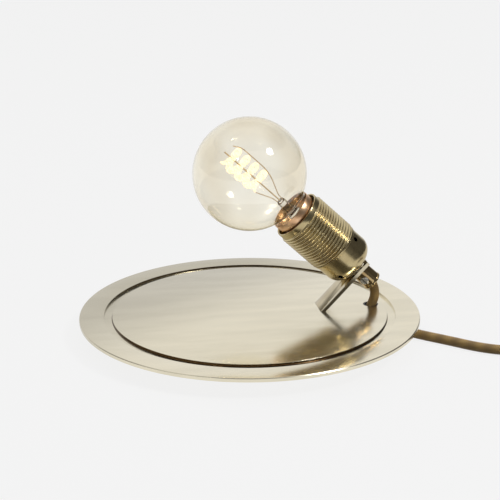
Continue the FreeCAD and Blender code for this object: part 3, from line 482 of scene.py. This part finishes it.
# ---------------------------------------------------------------- mesh helpers
def finish_piece(name, mesh, material, body, replaces=(), sharp=35.0):
    """Turns a mesh into a piece: its material, its shading, the body it rides on and what it stands for."""
    shape = bmesh.new()
    shape.from_mesh(mesh)
    bmesh.ops.recalc_face_normals(shape, faces=shape.faces)
    shape.to_mesh(mesh)
    shape.free()
    mesh.materials.clear()
    mesh.materials.append(material)
    mesh.shade_smooth()
    mesh.set_sharp_from_angle(angle=math.radians(sharp))
    piece = bpy.data.objects.new(name, mesh)
    scene.collection.objects.link(piece)
    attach(piece, body)
    if replaces:
        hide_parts(*replaces)
    return piece


def rounded(points, steps=4):
    """An outline of (radius, z, fillet) points as (radius, z) points with its corners rounded."""
    smooth = []
    count = len(points)
    for i, (r, z, fillet) in enumerate(points):
        corner = Vector((r, z))
        before = Vector(points[i - 1][:2])
        after = Vector(points[(i + 1) % count][:2])
        if not fillet or i in (0, count - 1):
            smooth.append((r, z))
            continue
        into = (before - corner)
        out = (after - corner)
        half = into.angle(out) / 2
        reach = min(fillet / math.tan(half), 0.49 * into.length, 0.49 * out.length)
        start = corner + into.normalized() * reach
        end = corner + out.normalized() * reach
        for k in range(steps + 1):
            t = k / steps
            p = start * (1 - t) ** 2 + corner * (2 * t * (1 - t)) + end * t ** 2
            smooth.append((p.x, p.y))
    return smooth


def arc_points(centre_r, centre_z, radius, start, end, steps):
    points = []
    for i in range(steps + 1):
        a = math.radians(start + (end - start) * i / steps)
        points.append((centre_r + radius * math.cos(a), centre_z + radius * math.sin(a)))
    return points


def turned_mesh(name, outline, segments=128, place=Matrix.Identity(4), closed=True, radius_at=None):
    """A mesh of an outline of (radius, z) points turned round Z, then put in its place."""
    verts, rings, faces = [], [], []
    for r, z in outline:
        if r < 1e-7:
            rings.append([len(verts)])
            verts.append(place @ Vector((0, 0, z)))
            continue
        rings.append(range(len(verts), len(verts) + segments))
        for i in range(segments):
            a = 2 * math.pi * i / segments
            reach = radius_at(r, z, a) if radius_at else r
            verts.append(place @ Vector((reach * math.cos(a), reach * math.sin(a), z)))
    pairs = list(zip(rings, rings[1:]))
    if closed:
        pairs.append((rings[-1], rings[0]))
    for a, b in pairs:
        for i in range(segments):
            j = (i + 1) % segments
            corners = [a[i % len(a)], a[j % len(a)], b[j % len(b)], b[i % len(b)]]
            face = list(dict.fromkeys(corners))
            if len(face) > 2:
                faces.append(face)
    mesh = bpy.data.meshes.new(name)
    mesh.from_pydata(verts, [], faces)
    return mesh


def cut_mesh(mesh, cutters):
    """The mesh with the cutters' meshes taken out of it."""
    target = bpy.data.objects.new("target", mesh)
    scene.collection.objects.link(target)
    tools = []
    for cutter in cutters:
        tool = bpy.data.objects.new("tool", cutter)
        scene.collection.objects.link(tool)
        tools.append(tool)
        change = target.modifiers.new("cut", "BOOLEAN")
        change.operation = "DIFFERENCE"
        change.solver = "EXACT"
        change.object = tool
    bpy.context.view_layer.update()
    result = bpy.data.meshes.new_from_object(target.evaluated_get(bpy.context.evaluated_depsgraph_get()))
    result.name = mesh.name
    for holder in [target] + tools:
        bpy.data.objects.remove(holder)
    return result


def closed_mesh(name, verts, faces):
    mesh = bpy.data.meshes.new(name)
    mesh.from_pydata(verts, [], faces)
    shape = bmesh.new()
    shape.from_mesh(mesh)
    bmesh.ops.recalc_face_normals(shape, faces=shape.faces)
    shape.to_mesh(mesh)
    shape.free()
    return mesh


def dressed(node, name, material, bevel, segments=2, angle=30.0):
    """A copy of a node's solid with clean faces and softened edges, which stands for the node."""
    mesh = frame["nodes"][node].data.copy()
    shape = bmesh.new()
    shape.from_mesh(mesh)
    bmesh.ops.remove_doubles(shape, verts=shape.verts, dist=0.01 * MM)
    bmesh.ops.dissolve_limit(shape, angle_limit=math.radians(3), verts=shape.verts, edges=shape.edges)
    shape.to_mesh(mesh)
    shape.free()
    for layer in list(mesh.uv_layers):
        mesh.uv_layers.remove(layer)
    body = frame["nodes"][node]["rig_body"]
    piece = finish_piece(name, mesh, material, body, (node,), sharp=30.0)
    if bevel:
        soft = piece.modifiers.new("soft_edges", "BEVEL")
        soft.width = bevel
        soft.segments = segments
        soft.limit_method = "ANGLE"
        soft.angle_limit = math.radians(angle)
        soft.harden_normals = False
    return piece


def around_head(angle):
    """The direction square to the lampholder's axis, in its own frame, turned from -Y towards below."""
    a = math.radians(angle)
    return Vector((math.sin(a), -math.cos(a), 0))


def pointing(direction):
    """The turn that points Z along a direction."""
    return direction.to_track_quat("Z", "Y").to_matrix().to_4x4()


# ---------------------------------------------------------------- plate and what is under it
def make_plate():
    soft = 0.12 * MM
    chamfer = 0.5 * MM
    floor = plate_top - groove_depth
    outline = [(0, plate_under, 0)]
    outline += [(plate_r - chamfer, plate_under, soft), (plate_r, plate_under + chamfer, soft)]
    outline += [(plate_r, plate_top - chamfer, soft), (plate_r - chamfer, plate_top, soft)]
    outline += [(groove_outer_r, plate_top, soft), (groove_outer_r, floor, 0.3 * MM)]
    outline += [(groove_inner_r, floor, 0.3 * MM), (groove_inner_r, plate_top, soft), (0, plate_top, 0)]
    mesh = turned_mesh("plate", rounded(outline, 3), 256, closed=False)
    place = Matrix.Translation((hole_x, 0, 0))
    drill = turned_mesh("drill", [(0, -1), (hole_r, -1), (hole_r, 1), (0, 1)], 48, place, False)
    mesh = cut_mesh(mesh, [drill, slot_cutter()])
    return finish_piece("plate", mesh, plate_brass, "root", ("base_plate",), 20.0)


def slot_cutter():
    """The slanted slot that the bracket passes through."""
    low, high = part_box("bracket")
    room = 0.15 * MM
    half = (high.y - low.y) / 2 + room
    down = Vector((-math.sin(head_tilt), 0, -math.cos(head_tilt)))
    along = Vector((math.cos(head_tilt), 0, -math.sin(head_tilt)))
    verts = []
    for side in (-half, half):
        for depth in (strip_far - strip_t - room, strip_far + room):
            for level in (plate_top + 3 * MM, plate_under - 0.02 * MM):
                start = rim + along * depth
                point = start + down * ((start.z - level) / math.cos(head_tilt))
                verts.append((point.x, side, point.z))
    faces = [(0, 1, 3, 2), (4, 6, 7, 5), (0, 4, 5, 1), (2, 3, 7, 6), (0, 2, 6, 4), (1, 5, 7, 3)]
    return closed_mesh("slot", verts, faces)


def make_bush():
    low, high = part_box("cord_bush")
    r = hole_r - 0.05 * MM
    bore = r - 1 * MM
    flange = (high.x - low.x) / 2
    outline = [
        (bore, high.z, 0.3 * MM),
        (r, high.z, 0.2 * MM),
        (r, low.z + 1.2 * MM, 0),
        (flange, low.z + 1.2 * MM, 0.2 * MM),
        (flange, low.z, 0.3 * MM),
        (bore + 1.2 * MM, low.z, 0.3 * MM),
        (bore, low.z + 1.2 * MM, 0.6 * MM),
    ]
    mesh = turned_mesh("bush", rounded(outline), 64, Matrix.Translation((hole_x, 0, 0)))
    return finish_piece("bush", mesh, black_plastic, "root", ("cord_bush",))


# ---------------------------------------------------------------- lampholder
def thread_wave(turns):
    """The height of a rounded thread, from 0 at its root to 1 at its crest, at so many turns along."""
    return 0.5 - 0.5 * math.cos(2 * math.pi * turns)


def sleeve_radius(r, z, angle):
    root = thread_r - thread_depth
    start = collar_len
    end = collar_len + thread_turns * thread_pitch
    if r < root - 0.1 * MM or not start < z < end:
        return r
    fade = min((z - start) / (0.8 * MM), (end - z) / (0.8 * MM), 1.0)
    return root + thread_depth * fade * thread_wave(z / thread_pitch - angle / (2 * math.pi)) ** 0.8


def make_sleeve():
    root = thread_r - thread_depth
    start = collar_len
    end = collar_len + thread_turns * thread_pitch
    outline = [(sleeve_bore_r, sleeve_len), (sleeve_bore_r, 0.4 * MM), (sleeve_bore_r + 0.15 * MM, 0.1 * MM)]
    outline += [(sleeve_bore_r + 0.4 * MM, 0), (root - 0.45 * MM, 0)]
    outline += [(root - 0.12 * MM, 0.12 * MM), (root, 0.45 * MM)]
    steps = 16 * thread_turns
    outline += [(root, start + (end - start) * i / steps) for i in range(steps + 1)]
    outline += rounded([
        (root, end, 0),
        (lip_r, end + lip_r - root, 0.2 * MM),
        (lip_r, sleeve_len, 0.2 * MM),
        (sleeve_bore_r, sleeve_len, 0),
    ])[1:-1]
    mesh = turned_mesh("sleeve", outline, 160, head_place, True, sleeve_radius)
    return finish_piece("sleeve", mesh, holder_brass, "root", ("threaded_sleeve",), 50.0)


def make_dome():
    end = dome_straight_end + dome_corner_r
    boss_end = end + boss_len
    ring = dome_r - dome_corner_r
    bore = nipple_r + 0.05 * MM
    inner = dome_r - dome_wall
    start = sleeve_len + 0.05 * MM
    outline = [(inner, start), (dome_r - 0.25 * MM, start), (dome_r, start + 0.25 * MM)]
    outline += [(dome_r, start + (dome_straight_end - start) * i / 12) for i in range(1, 12)]
    outline += arc_points(ring, dome_straight_end, dome_corner_r, 0, 90, 24)
    outline += [(boss_r + 0.6 * MM, end), (boss_r + 0.1 * MM, end + 0.15 * MM), (boss_r, end + 0.5 * MM)]
    outline += [(boss_r, boss_end - 0.3 * MM), (boss_r - 0.3 * MM, boss_end)]
    outline += [(bore, boss_end), (bore, end - dome_wall)]
    outline += arc_points(ring, dome_straight_end, dome_corner_r - dome_wall, 90, 0, 12)
    mesh = turned_mesh("dome", outline, 160, head_place)
    drills = []
    depth = 30 * MM
    drill = [(0, 0), (dome_hole_r, 0), (dome_hole_r, depth), (0, depth)]
    for z, angle in dome_holes:
        place = head_place @ Matrix.Translation((0, 0, z * MM)) @ pointing(around_head(angle))
        drills.append(turned_mesh("drill", drill, 40, place, False))
    mesh = cut_mesh(mesh, drills)
    return finish_piece("dome", mesh, holder_brass, "root", ("dome_cap",), 40.0)


def make_grip():
    start = strip_far + 0.05 * MM
    end = strip_far + grip_len
    bore = cord_d / 2 + 0.25 * MM
    mouth = 2.6 * MM
    outline = rounded([
        (bore, start, 0),
        (grip_r, start, 0.3 * MM),
        (grip_r, end - 1.9 * MM, 0.4 * MM),
        (grip_lip_r, end - 1.2 * MM, 0.3 * MM),
        (grip_lip_r, end - 0.3 * MM, 0.5 * MM),
        (bore + mouth, end, 0),
    ], 5)
    outline += arc_points(bore + mouth, end - mouth, mouth, 90, 180, 10)[1:]
    mesh = turned_mesh("grip", outline, 96, head_place)
    out = around_head(grip_screw_turn)
    centre = Vector((0, 0, strip_far + grip_screw_at)) + out * (grip_screw_face - 1.95 * MM)
    turn = Matrix.Translation(centre) @ pointing(out)
    r = grip_screw_head_r + 0.12 * MM
    seat = turned_mesh("seat", [(0, 0), (r, 0), (r, 0.01), (0, 0.01)], 48, head_place @ turn, False)
    mesh = cut_mesh(mesh, [seat])
    return finish_piece("grip", mesh, grip_brass, "root", ("cord_grip",), 40.0)


def make_grip_screw():
    out = around_head(grip_screw_turn)
    centre = Vector((0, 0, strip_far + grip_screw_at))
    place = head_place @ Matrix.Translation(centre) @ pointing(out)
    r = grip_screw_head_r
    face = grip_screw_face
    under = face - 1.9 * MM
    outline = rounded([
        (0, under - 1.0 * MM, 0),
        (2.0 * MM, under - 1.0 * MM, 0.1 * MM),
        (2.0 * MM, under, 0),
        (r, under, 0.1 * MM),
        (r, face - 0.05 * MM, 0.55 * MM),
        (0.4 * r, face, 0),
        (0, face, 0),
    ], 5)
    mesh = turned_mesh("screw", outline, 64, place, False)
    half = Vector((5 * MM, 0.5 * MM, 0.8 * MM))
    depth = Matrix.Translation((0, 0, face - 0.7 * MM))
    slot = block("slot", half, place @ depth @ Matrix.Rotation(math.radians(slot_turn), 4, "Z"))
    mesh = cut_mesh(mesh, [slot])
    return finish_piece("clamp_screw", mesh, steel, "grip_screw", ("grip_screw",), 30.0)


def block(name, half, place):
    verts = []
    for x in (-half.x, half.x):
        for y in (-half.y, half.y):
            for z in (-half.z, half.z):
                verts.append(place @ Vector((x, y, z)))
    faces = [(0, 1, 3, 2), (4, 6, 7, 5), (0, 4, 5, 1), (2, 3, 7, 6), (0, 2, 6, 4), (1, 5, 7, 3)]
    return closed_mesh(name, verts, faces)


# ---------------------------------------------------------------- bulb
def globe_side(globe, neck, blend, steps, blend_steps):
    """A globe's outline from its far end, through the concave blend, to the neck."""
    rise = math.sqrt((globe + blend) ** 2 - (neck + blend) ** 2)
    angle = math.degrees(math.atan2(-rise, -(neck + blend)))
    points = arc_points(0, globe_z, globe, -90, angle + 180, steps)
    return points + arc_points(neck + blend, globe_z + rise, blend, angle, -180, blend_steps)[1:]


def make_globe():
    throat = cap_r - 0.45 * MM
    foot = cap_top + 3 * MM
    outline = globe_side(globe_r, neck_r, neck_blend_r, 72, 12)
    shoulder = skirt_end - 0.6 * MM
    outline += rounded([
        (neck_r, shoulder - 1.4 * MM, 0),
        (neck_r, shoulder, 0.8 * MM),
        (throat, cap_top - 0.3 * MM, 0.5 * MM),
        (throat, foot, 0),
    ])[1:]
    neck = neck_r - glass_wall
    throat -= glass_wall
    outline += rounded([
        (throat, foot, 0),
        (throat, cap_top - 0.3 * MM, 0.5 * MM),
        (neck, shoulder - 0.8 * MM, 0.8 * MM),
        (neck, shoulder - 1.8 * MM, 0),
    ])
    inner = globe_side(globe_r - glass_wall, neck_r - glass_wall, neck_blend_r + glass_wall, 72, 12)
    outline += inner[::-1]
    mesh = turned_mesh("globe", [(max(r, 0), z) for r, z in outline], 160, head_place, False)
    return finish_piece("globe", mesh, globe_glass, "bulb", ("bulb_glass",), 60.0)


def make_cap():
    """The bulb's cap: a skirt round the neck, then a rounded thread that ends at the black insulator."""
    end = cap_top + cap_len
    inner = cap_r - cap_wall
    start = cap_top + 3.6 * MM
    steps = 64
    outline = [(skirt_r - cap_wall, skirt_end), (skirt_r - cap_wall, skirt_top + 0.1 * MM)]
    outline += [(skirt_r - 0.1 * MM, skirt_top), (skirt_r, skirt_top + 0.15 * MM)]
    outline += rounded([
        (skirt_r, skirt_end - 2 * MM, 0),
        (skirt_r, skirt_end, 1 * MM),
        (cap_r, cap_top, 0.8 * MM),
        (cap_r, start, 0),
    ])[1:]
    outline += [(cap_r, start + (end - start) * i / steps) for i in range(1, steps + 1)]
    outline += [(insulator_r, end + cap_foot_len), (insulator_r - 0.3 * MM, end + cap_foot_len - 0.3 * MM)]
    outline += [(inner, end - (end - start) * i / steps) for i in range(steps + 1)]
    outline += [(inner, cap_top)]

    def threaded(r, z, angle):
        if r < inner - 0.05 * MM or not start < z < end:
            return r
        fade = min((z - start) / (1.2 * MM), (end - z) / (1.2 * MM), 1.0)
        return r - cap_thread_depth * fade * (1 - thread_wave(z / cap_thread_pitch - angle / (2 * math.pi)))

    mesh = turned_mesh("cap", outline, 128, head_place, True, threaded)
    return finish_piece("cap", mesh, cap_brass, "bulb", ("bulb_cap",), 50.0)


def make_filament():
    """The glowing wire: a fine spring that is wound into a wide spiral."""
    per_winding = 12
    turn_len = math.hypot(2 * math.pi * filament_r, filament_pitch)
    windings = round(filament_turns * turn_len / filament_coil_pitch)
    points = []
    for i in range(windings * per_winding + 1):
        share = i / (windings * per_winding)
        a = 2 * math.pi * filament_turns * share
        out = Vector((math.cos(a), math.sin(a), 0))
        b = 2 * math.pi * i / per_winding
        reach = filament_coil_r * min(1.0, 12 * share + 0.2, 12 * (1 - share) + 0.2)
        place = out * (filament_r + reach * math.cos(b)) + Vector((0, 0, reach * math.sin(b)))
        place.z += filament_start - filament_pitch * filament_turns * share
        points.append(head_place @ place)
    mesh = tube_mesh("spiral", points, filament_wire_r, 6)
    return finish_piece("spiral", mesh, filament_glow, "bulb", ("filament",), 75.0)


# ---------------------------------------------------------------- tubes and cords
def spline_points(route, resolution=24):
    """Points along the smooth line that has the route's points as its control points."""
    curve = bpy.data.curves.new("route", "CURVE")
    curve.dimensions = "3D"
    spline = curve.splines.new("NURBS")
    spline.points.add(len(route) - 1)
    for point, place in zip(spline.points, route):
        point.co = (*place, 1)
    spline.order_u = 3
    spline.use_endpoint_u = True
    spline.resolution_u = resolution
    holder = bpy.data.objects.new("route", curve)
    scene.collection.objects.link(holder)
    line = bpy.data.meshes.new_from_object(holder)
    points = [v.co.copy() for v in line.vertices]
    bpy.data.objects.remove(holder)
    bpy.data.curves.remove(curve)
    bpy.data.meshes.remove(line)
    return points


def even_points(points, step):
    """Points at even steps along a line."""
    lengths = [0.0]
    for a, b in zip(points, points[1:]):
        lengths.append(lengths[-1] + (b - a).length)
    count = max(2, round(lengths[-1] / step))
    even, k = [], 0
    for i in range(count + 1):
        s = lengths[-1] * i / count
        while k < len(points) - 2 and lengths[k + 1] < s:
            k += 1
        t = (s - lengths[k]) / (lengths[k + 1] - lengths[k])
        even.append(points[k].lerp(points[k + 1], t))
    return even


def line_frames(points):
    """A centre, a side and a second side for each point, which turn as little as they can."""
    ahead = [(b - a).normalized() for a, b in zip(points, points[1:])]
    ahead.append(ahead[-1])
    side = ahead[0].orthogonal().normalized()
    frames = []
    for i, point in enumerate(points):
        heading = ahead[i] if i == 0 else (ahead[i - 1] + ahead[i]).normalized()
        side = (side - heading * side.dot(heading)).normalized()
        frames.append((point, side, heading.cross(side)))
    return frames


def tube_mesh(name, points, radius, sides, radius_at=None):
    """A closed tube round a line. radius_at(ring, angle) may give a radius of its own to each point."""
    frames = line_frames(points)
    verts, faces = [], []
    for k, (centre, side, other) in enumerate(frames):
        for i in range(sides):
            a = 2 * math.pi * i / sides
            r = radius_at(k, a) if radius_at else radius
            verts.append(centre + side * (r * math.cos(a)) + other * (r * math.sin(a)))
    for k in range(len(points) - 1):
        for i in range(sides):
            j = (i + 1) % sides
            faces.append((k * sides + i, k * sides + j, (k + 1) * sides + j, (k + 1) * sides + i))
    faces.append(tuple(range(sides - 1, -1, -1)))
    faces.append(tuple(range(len(verts) - sides, len(verts))))
    mesh = bpy.data.meshes.new(name)
    mesh.from_pydata(verts, [], faces)
    return mesh


def braid_height(turn, length):
    """The braid's height, from 0 in a gap to 1 on a yarn, and which yarn is on top there."""
    p = yarns * turn + length / braid_pitch
    q = yarns * turn - length / braid_pitch
    cell_p, cell_q = math.floor(p), math.floor(q)
    over = (cell_p + cell_q) % 2 == 0
    across, along = (p - cell_p, q - cell_q) if over else (q - cell_q, p - cell_p)
    height = math.sin(math.pi * across) * (0.55 + 0.45 * math.sin(math.pi * along))
    return height, (2 * cell_p if over else 2 * cell_q + 1)


def braided_cord(name, route_points, step, sides, node):
    points = even_points(route_points, step)
    length = sum((b - a).length for a, b in zip(points, points[1:]))
    r = cord_d / 2
    heights, shades = [], []
    spacing = length / (len(points) - 1)
    for k in range(len(points)):
        for i in range(sides):
            height, yarn = braid_height(i / sides, k * spacing)
            heights.append(height)
            shades.append(0.5 + 0.5 * math.sin(yarn * 12.9898))

    def braided(ring, angle):
        return r - braid_relief * (1 - heights[ring * sides + round(angle / (2 * math.pi) * sides)])

    mesh = tube_mesh(name, points, r, sides, braided)
    # crest also sets the painted shade in the braid's gaps
    crest = mesh.attributes.new("crest", "FLOAT", "POINT")
    crest.data.foreach_set("value", heights)
    shade = mesh.attributes.new("shade", "FLOAT", "POINT")
    shade.data.foreach_set("value", shades)
    piece = finish_piece(name, mesh, cord_textile, "root", (node,), 75.0)
    return piece


def coil_route():
    """The put-away length: in along the table, round the coil's layers, and up to the plug."""
    heading = Vector((math.cos(switch_heading), math.sin(switch_heading), 0))
    start = Vector(lead_route[-1]) * MM + heading * switch_len
    entry = start + heading * coil_lead_in
    centre = entry + Vector((-heading.y, heading.x, 0)) * coil_r
    route = [start, start + heading * (0.5 * coil_lead_in), entry - heading * (0.1 * coil_lead_in)]
    first = math.atan2(heading.y, heading.x) - math.pi / 2
    total = coil_layers * turns_per_layer * points_per_turn
    out_of_line = 1 / math.cos(math.pi / points_per_turn)
    for i in range(1, total):
        turns = i / points_per_turn
        layer, done = divmod(turns, turns_per_layer)
        share = done / turns_per_layer
        if int(layer) % 2:
            share = 1 - share
        r = (coil_r - coil_pitch * turns_per_layer * share) * out_of_line
        climb = min(max((turns - (turns_per_layer - 0.25)) / 0.5, 0), 1)
        z = cord_d / 2 + coil_pitch * (1 - math.cos(math.pi * climb)) / 2
        a = first + 2 * math.pi * turns
        route.append(Vector((centre.x + r * math.cos(a), centre.y + r * math.sin(a), z)))
    heading = plug_heading.normalized()
    last = centre + Vector((heading.y, -heading.x, 0)) * coil_r
    last.z = cord_d / 2 + coil_pitch
    rise = plug_start.z - last.z
    return route + [
        last + heading * (0.30 * coil_lead_out),
        last + heading * (0.70 * coil_lead_out) + Vector((0, 0, rise)),
        plug_start - heading * (0.4 * cord_end_straight),
        plug_start,
    ]


# ---------------------------------------------------------------- the whole scene
make_camera()
make_world()
make_floor()
softbox("key", (0.517, -0.363, 0.776), 2.2, 0.50, 13.0)
softbox("spot", (-0.45, -0.55, 0.70), 2.2, 0.14, 1.2)

dressed("plug_body", "plug", black_plastic, 0.8 * MM, 3)
dressed("switch_base", "switch_bottom", black_plastic, 0.8 * MM, 3)
dressed("switch_cover", "switch_top", black_plastic, 0.8 * MM, 3)

fine_step = 0.35 * MM
through_points = spline_points([Vector(p) * MM for p in through_route])
lead_points = spline_points([Vector(p) * MM for p in lead_route])
coil_points = spline_points(coil_route(), 6)
braided_cord("through_cord", through_points, fine_step, 32, "cord_through")
braided_cord("lead_cord", lead_points, fine_step, 32, "cord_lead")
braided_cord("coiled_cord", coil_points, 0.6 * MM, 24, "cord_coil")

make_plate()
make_bush()
make_sleeve()
make_dome()
make_grip()
make_grip_screw()
make_globe()
make_cap()
make_filament()
dressed("bracket", "strip", bracket_brass, 0.3 * MM)
dressed("cord_clamp", "saddle", steel, 0.2 * MM)
saddle_screws = dressed("cord_clamp_screws", "saddle_screws", steel, 0)
for vertex in saddle_screws.data.vertices:
    vertex.co.z = min(vertex.co.z, plate_top - groove_depth - 0.2 * MM)

node_looks = {
    "foot_1": rubber, "foot_2": rubber, "foot_3": rubber, "foot_4": rubber,
    "foot_screws": steel, "bracket_screws": steel,
    "threaded_nipple": nickel, "lock_washer": steel, "screw_shell": nickel, "ceramic_insert": ceramic,
    "terminal_screws": nickel, "earth_screw": nickel, "centre_contact": nickel, "conductors": core_plastic,
    "grip_pad": steel, "cap_insulator": black_plastic, "tip_contact": tin, "switch_rocker": black_plastic,
    "glass_stem": inner_glass, "filament_wires": painted_glow_wire, "plug_pins": nickel, "plug_earth_clips": nickel,
}
for node, material in node_looks.items():
    mesh = frame["nodes"][node].data
    mesh.materials.clear()
    mesh.materials.append(material)

scene.view_settings.view_transform = "Standard"
